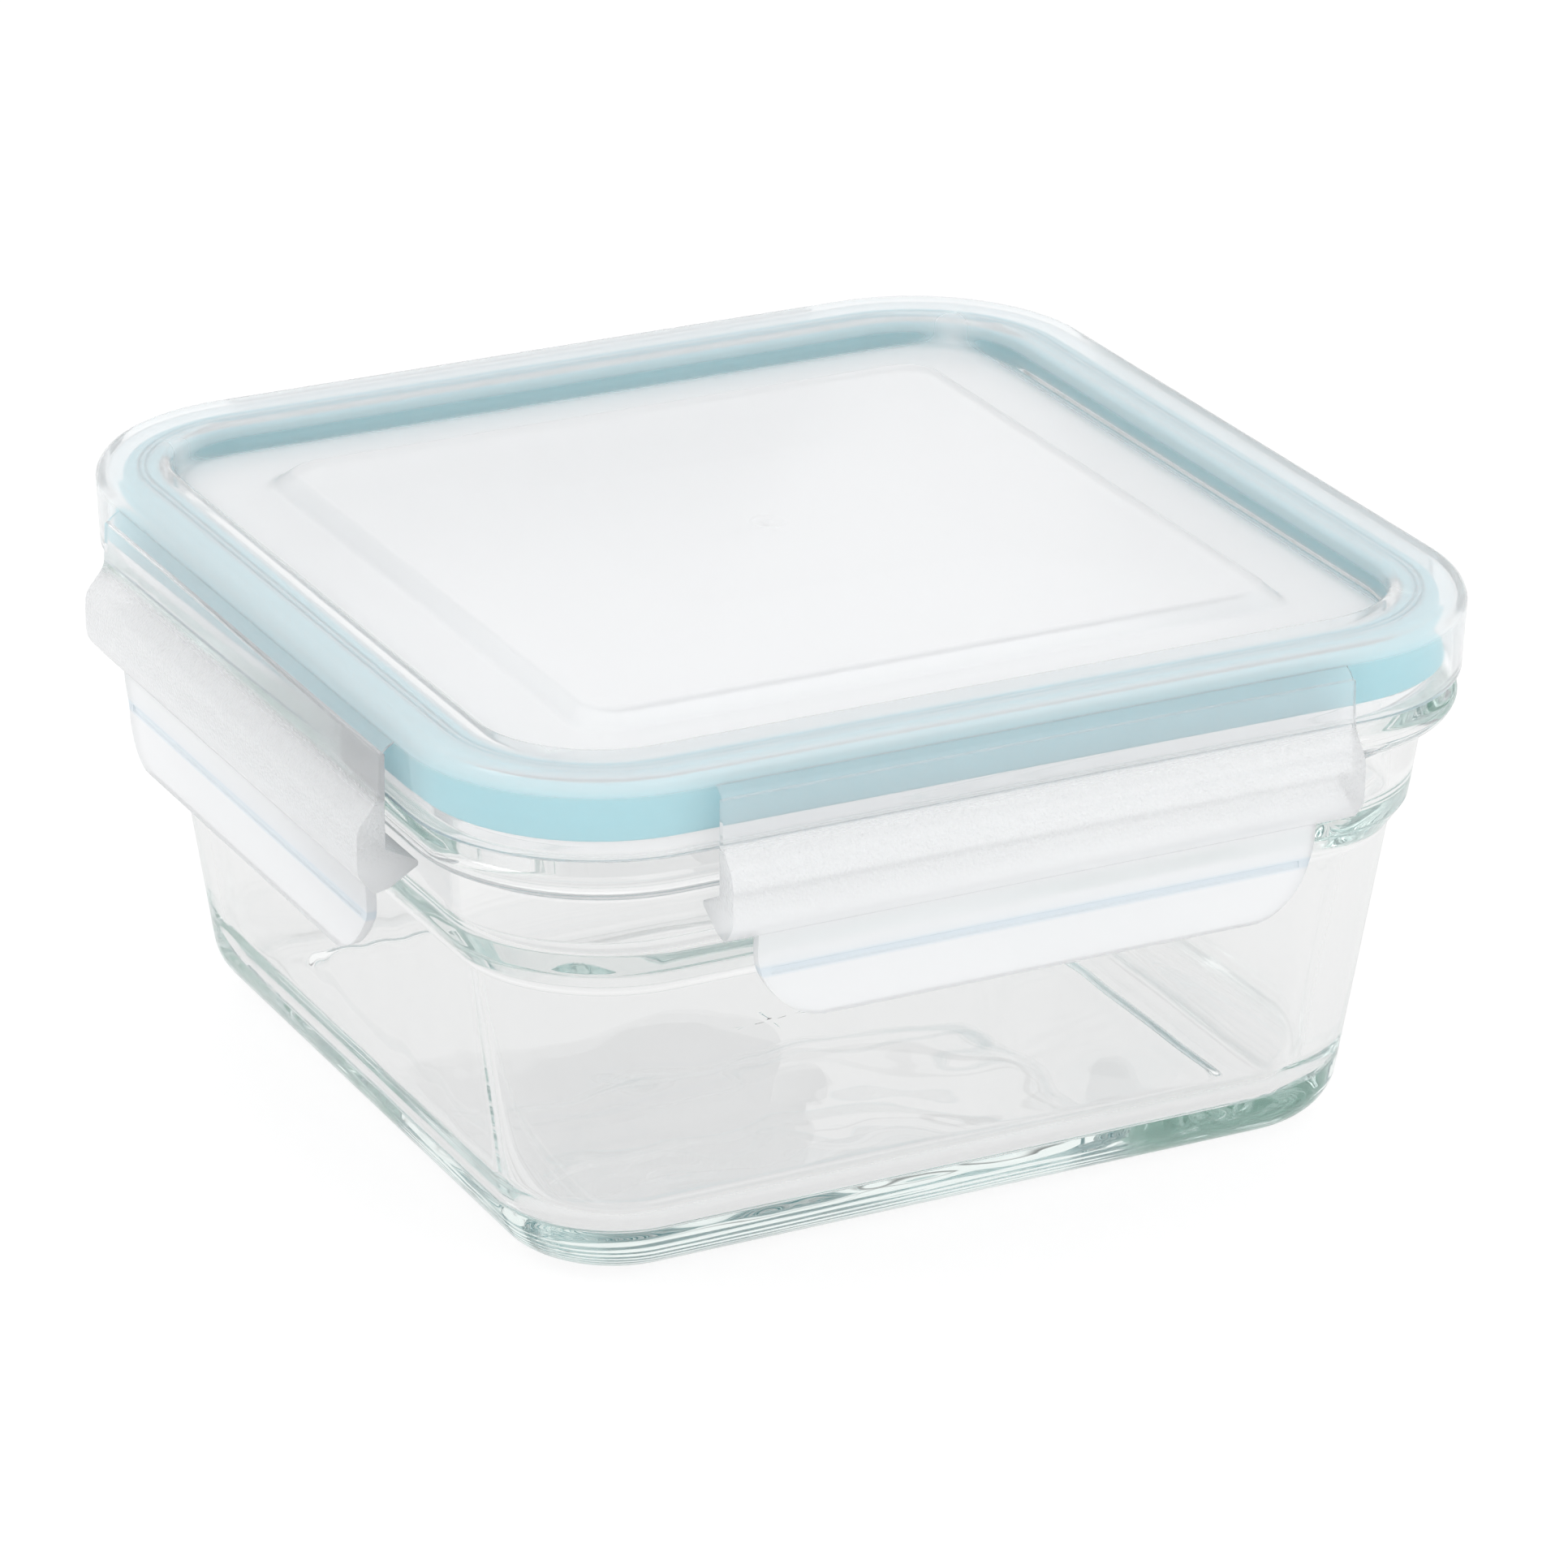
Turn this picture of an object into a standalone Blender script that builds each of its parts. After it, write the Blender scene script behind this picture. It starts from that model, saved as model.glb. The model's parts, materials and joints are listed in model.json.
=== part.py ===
"""Square glass food container with a snap-on lid.

A pressed glass bowl, a lid moulding with a silicone seal in its channel, and four wings on
living hinges that reach down over the bowl's flange.  Metres, +Z up.  The origin is on the
table plane at the centre of the base, and the four sides are alike.
"""

import math

import bmesh
import bpy

# Fineness of the round stretches
CORNER_STEPS = 8
FILLET_CHORD = 0.0012
FILLET_STEPS_MIN = 2
FILLET_STEPS_MAX = 6

# Running gap between neighbouring pieces
GAP = 0.0003

# Overall sizes: half widths are measured square to a side, from the centre
LID_HALF = 0.0757
LID_TOP = 0.0773
LID_CORNER = 0.0268
LID_ROUND = 0.0024
SKIRT_DRAFT = -0.0005
SKIRT_BOTTOM = 0.0658
PLASTIC = 0.0014

# Glass bowl
GLASS_WALL = 0.0039
GLASS_FLOOR = 0.0050
FOOT_HALF = 0.0545
FOOT_CORNER = 0.0105
CORNER_GROWTH = 0.745
FOOT_WIDTH = 0.0070
FOOT_RECESS = 0.0008
BASE_ROUND = 0.0110
WALL_FOOT_HALF = 0.0609
WALL_TOP_HALF = 0.0671
STEP_LOW = 0.0440
STEP_HIGH = 0.0476
NECK_LOW_HALF = 0.0693
NECK_TOP_HALF = 0.0708
NECK_TOP = 0.0590
FLANGE_HALF = 0.0751
FLANGE_LOW = 0.0606
SHOULDER = 0.0654
RIM_TOP = 0.0680
RIM_OUTER_HALF = 0.0715
MOUTH_HALF = 0.0673

# Lid: raised rim, sunken panel and raised centre square
RIM_INNER_HALF = 0.0652
PANEL_TOP = 0.0735
BOSS_FOOT_HALF = 0.0520
BOSS_HALF = 0.0497
BOSS_EDGE = 0.0758
BOSS_CROWN = 0.0763
CROWN_HALF = 0.0240
BOSS_CORNER = 0.0050
CHANNEL_ROOF = 0.0757
SKIRT_INNER_HALF = 0.0738
PLUG_HALF = 0.0666
PLUG_BOTTOM = 0.0668

# Seal: two ribs against the channel's roof and a lip that flares down outside the glass rim
SEAL_INNER_HALF = PLUG_HALF + 0.00035
SEAL_OUTER_HALF = 0.0718
SEAL_GROOVE_IN = 0.0683
SEAL_GROOVE_OUT = 0.0700
SEAL_GROOVE_DEPTH = 0.0007
SEAL_BOTTOM = RIM_TOP + 0.00035
LIP_OUTER_HALF = 0.0730
LIP_INNER_HALF = 0.0721
LIP_BOTTOM = 0.0677

# Wings: a plate over the skirt, a solid round bulge with a snap lip, and a finger tab
HINGE_U = 0.0765
HINGE_Z = 0.0739
WING_HALF = 0.0456
WING_TOP = HINGE_Z - 0.0005
WING_INNER_TOP = HINGE_U + 0.0004
WING_INNER_LOW = 0.0770
WING_PLATE = 0.0008
WAIST_U = 0.0780
WAIST_Z = 0.0671
BULGE_OUT = 0.0809
BULGE_HIGH = 0.0635
BULGE_LOW = 0.0573
BULGE_RADIUS = 0.0036
WING_BOTTOM_U = 0.0786
WING_BOTTOM = 0.0545
LIP_TIP = FLANGE_HALF + 0.00035
LIP_HIGH = 0.0594
LIP_LOW = 0.0557
LIP_ROOT_Z = 0.0604
LIP_ROOT_U = 0.0764
TAB_HALF = 0.0404
TAB_BOTTOM = 0.0418
TAB_CORNER = 0.0105
TAB_BEND_Z = 0.0488
TAB_BEND_U = 0.0772
TAB_TOP_U = 0.0778
TAB_END_U = 0.0781
TAB_PLATE = 0.0014
TAB_ROOT = 0.0010
TAB_TOOL_RISE = 0.0100
TAB_TOOL_DEPTH = 0.0200
GROOVE_HALF = 0.0383
GROOVE_WIDTH = 0.0010
GROOVE_DEPTH = 0.0003

# Living hinges: thin strips between the skirt and the tops of the wings
FILM_IN = 0.0759
FILM_OUT = HINGE_U + 0.0002
FILM_BOTTOM = HINGE_Z - 0.00015
FILM_THICKNESS = 0.0004
FILM_HALF = WING_HALF - 0.0004

WELD = 0.000001

SIDES = ("front", "right", "back", "left")


def clear_scene():
    """Remove whatever the scene holds."""
    for obj in list(bpy.data.objects):
        bpy.data.objects.remove(obj, do_unlink=True)


def make_material(name, color, roughness, transmission=0.0, ior=1.5):
    """A Principled material with one flat colour."""
    material = bpy.data.materials.new(name)
    material.use_nodes = True
    shader = material.node_tree.nodes["Principled BSDF"]
    shader.inputs["Base Color"].default_value = (*color, 1.0)
    shader.inputs["Roughness"].default_value = roughness
    shader.inputs["Metallic"].default_value = 0.0
    shader.inputs["Transmission Weight"].default_value = transmission
    shader.inputs["IOR"].default_value = ior
    return material


def fillet(before, corner, after, radius):
    """Points of an arc that rounds one corner of an outline, or the corner if it is too tight."""
    ax, az = before[0] - corner[0], before[1] - corner[1]
    bx, bz = after[0] - corner[0], after[1] - corner[1]
    la, lb = math.hypot(ax, az), math.hypot(bx, bz)
    ax, az, bx, bz = ax / la, az / la, bx / lb, bz / lb
    half_angle = math.acos(max(-1.0, min(1.0, ax * bx + az * bz))) / 2
    if radius <= 0 or half_angle > math.radians(89.5):
        return [corner[:2]]
    setback = min(radius / math.tan(half_angle), 0.49 * la, 0.49 * lb)
    radius = setback * math.tan(half_angle)
    mx, mz = ax + bx, az + bz
    length = math.hypot(mx, mz)
    reach = radius / math.sin(half_angle)
    cx, cz = corner[0] + mx / length * reach, corner[1] + mz / length * reach
    start = math.atan2(corner[1] + az * setback - cz, corner[0] + ax * setback - cx)
    end = math.atan2(corner[1] + bz * setback - cz, corner[0] + bx * setback - cx)
    sweep = (end - start + math.pi) % (2 * math.pi) - math.pi
    steps = math.ceil(abs(sweep) * radius / FILLET_CHORD)
    steps = max(FILLET_STEPS_MIN, min(FILLET_STEPS_MAX, steps))
    return [(cx + radius * math.cos(start + sweep * i / steps),
             cz + radius * math.sin(start + sweep * i / steps)) for i in range(steps + 1)]


def rounded(outline, closed):
    """Round each (across, height, radius) corner of an outline."""
    path = []
    for i, corner in enumerate(outline):
        if not closed and i in (0, len(outline) - 1):
            path.append(corner[:2])
            continue
        after = outline[(i + 1) % len(outline)]
        path.extend(fillet(outline[i - 1], corner, after, corner[2]))
    return path


def ring(half, radius, z):
    """Points of a rounded square at height z, counter-clockwise from the +X side."""
    points = []
    for quarter in range(4):
        turn = quarter * math.pi / 2
        cx, cy = half - radius, half - radius
        cos_t, sin_t = math.cos(turn), math.sin(turn)
        for i in range(CORNER_STEPS + 1):
            angle = i * math.pi / 2 / CORNER_STEPS
            x, y = cx + radius * math.cos(angle), cy + radius * math.sin(angle)
            points.append((x * cos_t - y * sin_t, x * sin_t + y * cos_t, z))
    return points


def add_object(name, bm, material):
    """Make an object from a bmesh, smooth shaded with its hard edges kept."""
    bmesh.ops.recalc_face_normals(bm, faces=bm.faces)
    mesh = bpy.data.meshes.new(name)
    bm.to_mesh(mesh)
    bm.free()
    mesh.shade_smooth()
    mesh.set_sharp_from_angle(angle=math.radians(35))
    mesh.materials.append(material)
    obj = bpy.data.objects.new(name, mesh)
    bpy.context.collection.objects.link(obj)
    return obj


def loft_square(name, path, corner_radius, closed, material):
    """Sweep a section path round the square: closed makes a hoop, open a capped solid."""
    bm = bmesh.new()
    rings = [[bm.verts.new(p) for p in ring(u, corner_radius(u), z)] for u, z in path]
    count = len(rings[0])
    pairs = list(zip(rings, rings[1:]))
    if closed:
        pairs.append((rings[-1], rings[0]))
    for low, high in pairs:
        for i in range(count):
            j = (i + 1) % count
            bm.faces.new((low[i], low[j], high[j], high[i]))
    if not closed:
        bm.faces.new(rings[0])
        bm.faces.new(rings[-1])
    return add_object(name, bm, material)


def glass_corner(half):
    """Plan radius of the bowl's outer corners, which grows with the taper."""
    return FOOT_CORNER + CORNER_GROWTH * (half - FOOT_HALF)


def lid_corner(half):
    """Plan radius of the lid's corners: parallel to the skirt, never tighter than the boss."""
    return max(BOSS_CORNER, LID_CORNER - (LID_HALF - half))


def build_bowl(material):
    """Foot ring, tapered wall, step, neck, flange and rim, then the inside down to the floor."""
    taper = (WALL_TOP_HALF - WALL_FOOT_HALF) / STEP_LOW
    inner_foot = WALL_FOOT_HALF + taper * GLASS_FLOOR - GLASS_WALL
    outline = [
        (FOOT_HALF - FOOT_WIDTH - 0.0010, FOOT_RECESS, 0),
        (FOOT_HALF - FOOT_WIDTH, 0, 0),
        (WALL_FOOT_HALF, 0, BASE_ROUND),
        (WALL_TOP_HALF, STEP_LOW, 0.0020),
        (NECK_LOW_HALF, STEP_HIGH, 0.0020),
        (NECK_TOP_HALF, NECK_TOP, 0.0010),
        (FLANGE_HALF - 0.0002, FLANGE_LOW, 0.0018),
        (FLANGE_HALF, SHOULDER - 0.0002, 0.0020),
        (RIM_OUTER_HALF + 0.0002, SHOULDER, 0.0006),
        (RIM_OUTER_HALF, RIM_TOP, 0.0015),
        (MOUTH_HALF, RIM_TOP, 0.0015),
        (NECK_LOW_HALF - 0.0027, STEP_HIGH + 0.0030, 0.0040),
        (WALL_TOP_HALF - GLASS_WALL, STEP_LOW + 0.0010, 0.0040),
        (inner_foot, GLASS_FLOOR, 0.0080),
        (FOOT_HALF - 0.0100, GLASS_FLOOR, 0),
    ]
    loft_square("glass_bowl", rounded(outline, False), glass_corner, False, material)


def build_lid(material):
    """Crowned boss, sunken panel, raised rim and skirt, then back along the underside."""
    skirt_half = LID_HALF + SKIRT_DRAFT
    outline = [
        (CROWN_HALF, BOSS_CROWN, 0),
        (BOSS_HALF, BOSS_EDGE, 0.0012),
        (BOSS_FOOT_HALF, PANEL_TOP, 0.0012),
        (RIM_INNER_HALF - 0.0002, PANEL_TOP, 0.0010),
        (RIM_INNER_HALF, LID_TOP, 0.0012),
        (LID_HALF, LID_TOP, LID_ROUND),
        (skirt_half, SKIRT_BOTTOM, 0.0003),
        (SKIRT_INNER_HALF, SKIRT_BOTTOM, 0.0003),
        (SKIRT_INNER_HALF, CHANNEL_ROOF, 0.0006),
        (PLUG_HALF, CHANNEL_ROOF, 0.0006),
        (PLUG_HALF - 0.0002, PLUG_BOTTOM, 0.0003),
        (PLUG_HALF - PLASTIC, PLUG_BOTTOM, 0.0003),
        (PLUG_HALF - PLASTIC - 0.0003, PANEL_TOP - PLASTIC, 0.0010),
        (BOSS_FOOT_HALF + 0.0008, PANEL_TOP - PLASTIC, 0.0012),
        (BOSS_HALF - 0.0006, BOSS_EDGE - PLASTIC, 0.0012),
        (CROWN_HALF, BOSS_CROWN - PLASTIC, 0),
    ]
    loft_square("lid_panel", rounded(outline, False), lid_corner, False, material)


def build_gasket(material):
    """Seal with two ribs on top, a bevelled sealing face and a flared outer lip."""
    top = CHANNEL_ROOF - GAP
    outline = [
        (SEAL_INNER_HALF, SEAL_BOTTOM, 0.0004),
        (SEAL_INNER_HALF, top, 0.0005),
        (SEAL_GROOVE_IN, top, 0.0003),
        (SEAL_GROOVE_IN + 0.0003, top - SEAL_GROOVE_DEPTH, 0.0002),
        (SEAL_GROOVE_OUT - 0.0003, top - SEAL_GROOVE_DEPTH, 0.0002),
        (SEAL_GROOVE_OUT, top, 0.0003),
        (SEAL_OUTER_HALF, top, 0.0011),
        (SEAL_OUTER_HALF + 0.0001, top - 0.0048, 0.0030),
        (LIP_OUTER_HALF, LIP_BOTTOM, 0.0003),
        (LIP_INNER_HALF, LIP_BOTTOM, 0.0003),
        (LIP_INNER_HALF - 0.0004, SEAL_BOTTOM, 0.0004),
    ]
    loft_square("lid_gasket", rounded(outline, True), lid_corner, True, material)


def extrude(outline, half_length, place):
    """Extrude a closed outline to both sides; place gives the point of an outline corner."""
    bm = bmesh.new()
    ends = [[bm.verts.new(place(a, b, depth)) for a, b in outline]
            for depth in (-half_length, half_length)]
    count = len(outline)
    for i in range(count):
        j = (i + 1) % count
        bm.faces.new((ends[0][i], ends[0][j], ends[1][j], ends[1][i]))
    bm.faces.new(ends[0])
    bm.faces.new(ends[1])
    bmesh.ops.recalc_face_normals(bm, faces=bm.faces)
    return bm


def prism(outline, half_length):
    """Extrude an (out, height) outline along X, about the hinge axis; out points to -Y."""
    return extrude(outline, half_length, lambda u, z, x: (x, HINGE_U - u, z - HINGE_Z))


def slab(outline, half_depth):
    """Extrude an (x, height) outline along Y, to both sides of the hinge axis."""
    return extrude(outline, half_depth, lambda x, z, y: (x, y, z - HINGE_Z))


def temporary(bm):
    """An object for a Boolean to use."""
    mesh = bpy.data.meshes.new("tool")
    bm.to_mesh(mesh)
    bm.free()
    obj = bpy.data.objects.new("tool", mesh)
    bpy.context.collection.objects.link(obj)
    return obj


def combine(base, tool, operation):
    """Apply one Boolean to base and remove the tool."""
    modifier = base.modifiers.new("combine", "BOOLEAN")
    modifier.operation = operation
    modifier.object = tool
    depsgraph = bpy.context.evaluated_depsgraph_get()
    mesh = bpy.data.meshes.new_from_object(base.evaluated_get(depsgraph))
    base.modifiers.clear()
    base.data = mesh
    bpy.data.objects.remove(tool, do_unlink=True)


def wing_section():
    """Closed outline of the wide part of a wing, with its snap lip."""
    return rounded([
        (WING_INNER_TOP, WING_TOP, 0.0001),
        (WING_INNER_TOP + WING_PLATE, WING_TOP, 0.0003),
        (WAIST_U, WAIST_Z, 0.0030),
        (BULGE_OUT, BULGE_HIGH, BULGE_RADIUS),
        (BULGE_OUT, BULGE_LOW, BULGE_RADIUS),
        (WING_BOTTOM_U, WING_BOTTOM, 0.0010),
        (LIP_ROOT_U, WING_BOTTOM + 0.0005, 0.0006),
        (LIP_TIP, LIP_LOW, 0.0003),
        (LIP_TIP, LIP_HIGH, 0.0003),
        (WING_INNER_LOW, LIP_ROOT_Z, 0.0004),
        (WING_INNER_LOW, WAIST_Z - 0.0010, 0),
    ], True)


def tab_section():
    """Closed outline of the finger tab, bent slightly outward below its crease."""
    return [
        (TAB_TOP_U - TAB_PLATE, WING_BOTTOM + TAB_ROOT),
        (TAB_TOP_U, WING_BOTTOM + TAB_ROOT),
        (TAB_BEND_U, TAB_BEND_Z),
        (TAB_END_U, TAB_BOTTOM),
        (TAB_END_U - TAB_PLATE, TAB_BOTTOM),
        (TAB_BEND_U - TAB_PLATE, TAB_BEND_Z),
    ]


def tab_face():
    """Front outline of the tab: square above, rounded corners below."""
    top = WING_BOTTOM + TAB_TOOL_RISE
    return rounded([
        (-TAB_HALF, top, 0),
        (TAB_HALF, top, 0),
        (TAB_HALF, TAB_BOTTOM - 0.0001, TAB_CORNER),
        (-TAB_HALF, TAB_BOTTOM - 0.0001, TAB_CORNER),
    ], True)


def groove_section():
    """Outline of the shallow groove cut along the tab's crease."""
    out = TAB_BEND_U + 0.0010
    return [
        (TAB_BEND_U - GROOVE_DEPTH, TAB_BEND_Z - GROOVE_WIDTH / 2),
        (out, TAB_BEND_Z - GROOVE_WIDTH / 2),
        (out, TAB_BEND_Z + GROOVE_WIDTH / 2),
        (TAB_BEND_U - GROOVE_DEPTH, TAB_BEND_Z + GROOVE_WIDTH / 2),
    ]


def build_wing_mesh(material):
    """One wing with its hinge axis on the local origin, standing out towards -Y."""
    tab = temporary(prism(tab_section(), TAB_HALF))
    combine(tab, temporary(slab(tab_face(), TAB_TOOL_DEPTH)), "INTERSECT")
    wing = temporary(prism(wing_section(), WING_HALF))
    combine(wing, tab, "UNION")
    combine(wing, temporary(prism(groove_section(), GROOVE_HALF)), "DIFFERENCE")
    bm = bmesh.new()
    bm.from_mesh(wing.data)
    bpy.data.objects.remove(wing, do_unlink=True)
    bmesh.ops.remove_doubles(bm, verts=bm.verts, dist=WELD)
    pattern = add_object("wing_pattern", bm, material)
    mesh = pattern.data
    bpy.data.objects.remove(pattern, do_unlink=True)
    return mesh


def build_film_mesh(material):
    """Living hinge: a thin strip along the local X axis."""
    top = FILM_BOTTOM + FILM_THICKNESS
    outline = [(FILM_IN, FILM_BOTTOM), (FILM_OUT, FILM_BOTTOM), (FILM_OUT, top), (FILM_IN, top)]
    pattern = add_object("film_pattern", prism(outline, FILM_HALF), material)
    mesh = pattern.data
    bpy.data.objects.remove(pattern, do_unlink=True)
    return mesh


def place_on_sides(prefix, mesh):
    """One object per side, turned about the centre, with its origin on the hinge axis."""
    for i, side in enumerate(SIDES):
        turn = i * math.pi / 2
        obj = bpy.data.objects.new(prefix + side, mesh)
        obj.location = (HINGE_U * math.sin(turn), -HINGE_U * math.cos(turn), HINGE_Z)
        obj.rotation_euler = (0, 0, turn)
        bpy.context.collection.objects.link(obj)


def main():
    clear_scene()
    glass = make_material("glass", (0.93, 0.97, 0.95), 0.02, 1.0, 1.5)
    plastic = make_material("lid_plastic", (0.88, 0.90, 0.93), 0.30, 0.6, 1.49)
    silicone = make_material("silicone", (0.45, 0.70, 0.77), 0.45)
    wing_plastic = make_material("wing_plastic", (0.88, 0.90, 0.93), 0.35, 0.6, 1.49)
    film_plastic = make_material("film_plastic", (0.90, 0.92, 0.95), 0.35, 0.6, 1.49)
    build_bowl(glass)
    build_lid(plastic)
    build_gasket(silicone)
    place_on_sides("latch_", build_wing_mesh(wing_plastic))
    place_on_sides("hinge_film_", build_film_mesh(film_plastic))


main()
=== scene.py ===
"""Looks of the square glass food container: glass bowl, clear-frosted lid and wings, blue seal.

The CAD frame gives every place.  Each visible piece is rebuilt here with a finer surface on the
same outline, and rides on the CAD body that it belongs to.
"""
import json
import math

import bmesh
import bpy
from mathutils import Matrix, Vector


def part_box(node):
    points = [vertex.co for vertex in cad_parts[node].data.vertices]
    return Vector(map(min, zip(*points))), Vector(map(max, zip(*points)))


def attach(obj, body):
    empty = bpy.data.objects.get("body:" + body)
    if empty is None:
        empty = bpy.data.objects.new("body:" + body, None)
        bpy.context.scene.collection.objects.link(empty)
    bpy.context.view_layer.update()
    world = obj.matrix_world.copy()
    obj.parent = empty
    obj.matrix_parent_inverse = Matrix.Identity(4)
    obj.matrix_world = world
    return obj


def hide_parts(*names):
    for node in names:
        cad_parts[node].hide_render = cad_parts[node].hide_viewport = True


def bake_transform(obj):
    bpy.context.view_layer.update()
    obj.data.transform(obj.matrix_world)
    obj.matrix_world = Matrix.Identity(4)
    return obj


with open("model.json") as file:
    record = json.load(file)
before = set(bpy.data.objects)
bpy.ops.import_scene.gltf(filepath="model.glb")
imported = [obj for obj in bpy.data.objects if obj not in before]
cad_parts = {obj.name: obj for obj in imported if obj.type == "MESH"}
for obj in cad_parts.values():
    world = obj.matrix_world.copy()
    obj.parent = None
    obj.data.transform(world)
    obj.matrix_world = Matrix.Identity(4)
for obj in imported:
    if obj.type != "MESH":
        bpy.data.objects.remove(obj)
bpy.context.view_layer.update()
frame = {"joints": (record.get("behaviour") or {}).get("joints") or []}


# Fineness of the round stretches
CORNER_STEPS = 20
SIDE_STEPS = 10
FILLET_CHORD = 0.0003
FILLET_STEPS_MIN = 4
FILLET_STEPS_MAX = 24
RUN_STEP = 0.0030
RUN_END = 0.0002
UNDIVIDED = 0.1
NEARLY_STRAIGHT = math.radians(89.5)
SETBACK_SHARE = 0.49

# Places taken from the frame: half widths square to a side, and heights
BOWL_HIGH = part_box("glass_bowl")[1]
LID_LOW, LID_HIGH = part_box("lid_panel")
SEAL_LOW, SEAL_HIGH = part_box("lid_gasket")
WING_LOW, WING_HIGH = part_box("latch_front")
FLANGE_HALF = BOWL_HIGH[0]
RIM_TOP = BOWL_HIGH[2]
SKIRT_BOTTOM = LID_LOW[2]
LID_TOP = LID_HIGH[2]
LIP_OUTER_HALF = SEAL_HIGH[0]
LIP_BOTTOM = SEAL_LOW[2]
SEAL_TOP = SEAL_HIGH[2]
BULGE_OUT = -WING_LOW[1]
WING_HALF = WING_HIGH[0]
WING_TOP = WING_HIGH[2]
TAB_BOTTOM = WING_LOW[2]

# Glass bowl, below the rim
GLASS_WALL = 0.0039
GLASS_FLOOR = 0.0050
FOOT_HALF = 0.0545
FOOT_CORNER = 0.0105
CORNER_GROWTH = 0.745
CORNER_MIN = 0.0060
FOOT_RING_INNER = 0.0475
FOOT_RECESS = 0.0008
BASE_ROUND = 0.0110
WALL_FOOT_HALF = 0.0609
WALL_TOP_HALF = 0.0671
STEP_LOW = 0.0440
STEP_HIGH = 0.0476
NECK_LOW_HALF = 0.0693
NECK_TOP_HALF = 0.0708
NECK_TOP = 0.0590
FLANGE_LOW = 0.0606
SHOULDER = 0.0654
SHOULDER_SLOPE = 0.0030
RIM_OUTER_HALF = 0.0715
MOUTH_HALF = 0.0673

# Lid moulding
LID_HALF = 0.0757
LID_CORNER = 0.0268
LID_ROUND = 0.0024
SKIRT_HALF = 0.0752
PLASTIC = 0.0014
RIM_INNER_HALF = 0.0652
PANEL_TOP = 0.0735
BOSS_FOOT_HALF = 0.0520
BOSS_HALF = 0.0497
BOSS_EDGE = 0.0758
BOSS_CROWN = 0.0763
CROWN_HALF = 0.0240
BOSS_CORNER = 0.0050
CHANNEL_ROOF = 0.0757
SKIRT_INNER_HALF = 0.0738
PLUG_HALF = 0.0666
PLUG_BOTTOM = 0.0668
RIB_OUTER_HALF = 0.0696
RIB_INNER_HALF = 0.0687
RIB_WIDTH = 0.0004
RIB_DEPTH = 0.0007
GATE_RADIUS = 0.0026
GATE_DEPTH = 0.00008

# Seal
SEAL_INNER_HALF = 0.06695
SEAL_OUTER_HALF = 0.0718
SEAL_GROOVE_IN = 0.0683
SEAL_GROOVE_OUT = 0.0700
SEAL_GROOVE_DEPTH = 0.0007
SEAL_BOTTOM = RIM_TOP + 0.00035
LIP_INNER_HALF = 0.0721

# Wings: the snap lips here are full length and reach in under the flange
HINGE = Vector(frame["joints"][1]["pos_m"])
WING_INNER_TOP = -HINGE.y + 0.0004
WING_INNER_LOW = 0.0770
WING_PLATE = 0.0008
WAIST_U = 0.0780
WAIST_Z = 0.0671
BULGE_HIGH = 0.0635
BULGE_LOW = 0.0573
BULGE_RADIUS = 0.0036
WING_BOTTOM_U = 0.0786
WING_BOTTOM = 0.0545
LIP_TIP = 0.0725
LIP_TIP_Z = 0.0577
LIP_ROOT_U = 0.0764
LIP_ROOT_Z = 0.0604
TAB_HALF = 0.0404
TAB_CORNER = 0.0105
TAB_BEND_Z = 0.0488
TAB_BEND_U = 0.0772
TAB_TOP_U = 0.0778
TAB_END_U = 0.0781
TAB_PLATE = 0.0014
TAB_ROOT = 0.0010
TAB_TOOL_RISE = 0.0100
TAB_TOOL_NEAR = -0.06
TAB_TOOL_FAR = -0.10
GROOVE_HALF = 0.0383
GROOVE_WIDTH = 0.0014
GROOVE_DEPTH = 0.0002
EDGE_WIDTH = 0.00022
EDGE_SEGMENTS = 3
SHARP_ANGLE = math.radians(40)

# Hinge webs, from the skirt to each wing's top edge
WEB_SKIRT_U = 0.0755
WEB_SKIRT_Z = 0.0747
WEB_WING_U = 0.0774
WEB_WING_Z = 0.0733
WEB_THICKNESS = 0.0003
WEB_BOW = 0.00015
WEB_BOW_RADIUS = 0.0030
WEB_STEP = 0.0003
WEB_INSET = 0.0002

SIDES = ("front", "right", "back", "left")


# ---------------------------------------------------------------- camera, lights and stage

VIEW_AZIMUTH = math.radians(-27.13)
VIEW_ELEVATION = math.radians(22.89)
VIEW_ROLL = math.radians(0.47)
VIEW_DISTANCE = 0.980
VIEW_TARGET = Vector((-0.0032, -0.0116, 0.0428))
VIEW_LENS = 166.6
VIEW_SENSOR = 36.0
VIEW_NEAR = 0.05
VIEW_FAR = 30.0

# Sky as clear glass shows it: a bright softbox side over a dark horizon
SKY_WHITE = 1.05
SKY_FRONT = 1.1
FRONT_AZIMUTH = math.radians(-50)
FRONT_ELEVATION = math.radians(30)
FRONT_EDGE = 0.2
FRONT_FULL = 0.9
SKY_HORIZON = 0.16
HORIZON_TOP = 0.05
HORIZON_FADE = 0.17

# Sky as everything else gets it, with a share of the softbox's shape
SKY_SOFT = 0.82
SKY_SOFT_SHARE = 0.10

# Glow of the table: through clear glass, onto everything else, and to the camera
TABLE_GLOW = 0.70
TABLE_GLOW_SOFT = 0.85
TABLE_GLOW_SEEN = 0.86
TABLE_GREY = 0.16
TABLE_ROUGH = 0.7
TABLE_RADIUS = 6.0
TABLE_SIDES = 64
TABLE_DROP = 0.0002

# Soft lamps: name, azimuth, elevation, distance, size and power
LAMPS = (
    ("key", -100, 50, 1.6, 0.5, 3),
    ("front", 20, 45, 1.8, 1.2, 5),
)
LAMP_TARGET = Vector((0, 0, 0.05))

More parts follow.
